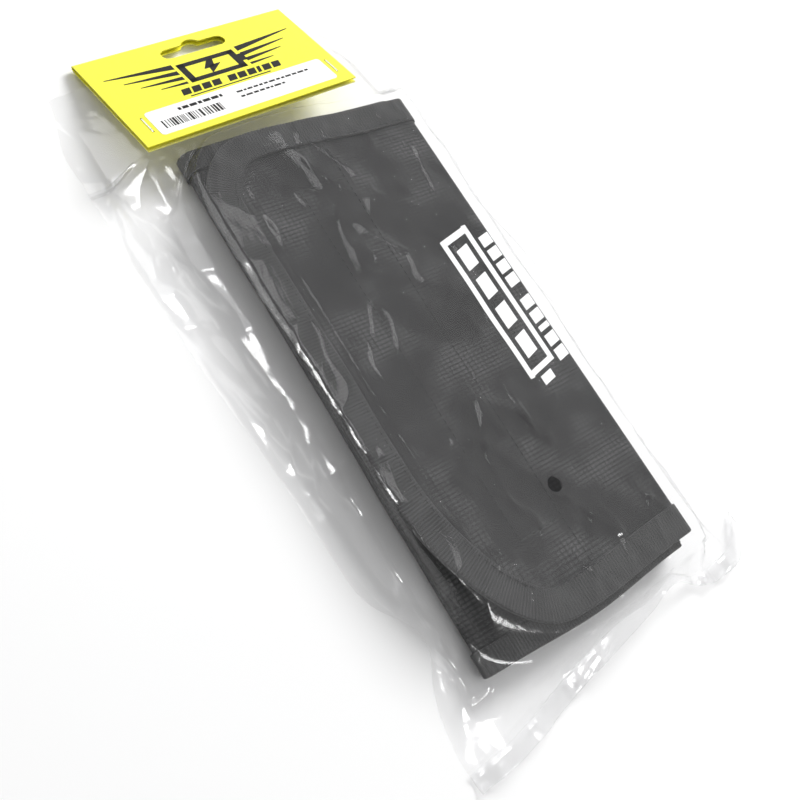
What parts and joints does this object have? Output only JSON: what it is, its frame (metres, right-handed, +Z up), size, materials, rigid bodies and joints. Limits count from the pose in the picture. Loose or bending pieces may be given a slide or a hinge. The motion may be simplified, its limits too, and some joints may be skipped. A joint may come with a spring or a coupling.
{
  "type": "battery safety bag in retail pack",
  "caption": "Folded fire-resistant battery charging bag, flap side up, sealed in a clear polybag with a stapled, folded hanging header card.",
  "frame": {"origin": "middle of the pack's outline, at the height of the surface that it lies on", "axes": "+Z up, +Y towards the header card, +X towards the fold of the flap; hinge of the header along X, hinge of the flap along the fold"},
  "size_m": [0.16, 0.3265, 0.0198],
  "materials": {
    "film": "clear, glossy, thin and wrinkled",
    "card": "coated board, satin gloss",
    "label": "semi-gloss paper",
    "steel": "bright drawn wire",
    "cloth": "coated glass cloth with a fine square weave",
    "tape": "ribbed grosgrain",
    "hook": "moulded hooks",
    "loop": "brushed loops",
    "thread": "twisted polyester thread"
  },
  "bodies": {
    "polybag": {"polybag_rear_film": "film", "polybag_front_film": "film", "polybag_bottom_seal": "film", "polybag_shoulder_film": "film"},
    "header": {"polybag_neck_front_film": "film", "polybag_neck_rear_film": "film", "header_card": "card", "barcode_label": "label", "staple_left": "steel", "staple_right": "steel"},
    "sack": {"back_panel": "cloth", "front_panel": "cloth", "side_binding_top": "tape", "side_binding_bottom": "tape", "mouth_binding": "tape", "base_binding": "tape", "front_loop_strip": "loop"},
    "flap": {"flap_panel": "cloth", "flap_binding": "tape", "flap_hook_strip": "hook", "flap_binding_stitching": "thread", "closure_stitching": "thread"}
  },
  "joints": [
    {"name": "header_flex", "type": "hinge", "parent": "polybag", "child": "header", "pos_m": [0, 0.103, 0.0175], "axis": [1, 0, 0], "range_deg": [0, 80]},
    {"name": "sack_slide", "type": "slide", "parent": "polybag", "child": "sack", "axis": [0, 1, 0], "range_m": [-0.003, 0]},
    {"name": "flap_lift", "type": "hinge", "parent": "sack", "child": "flap", "pos_m": [0.05285, -0.02417, 0.0104], "axis": [0.0785, 0.9969, 0], "range_deg": [0, 2]}
  ]
}
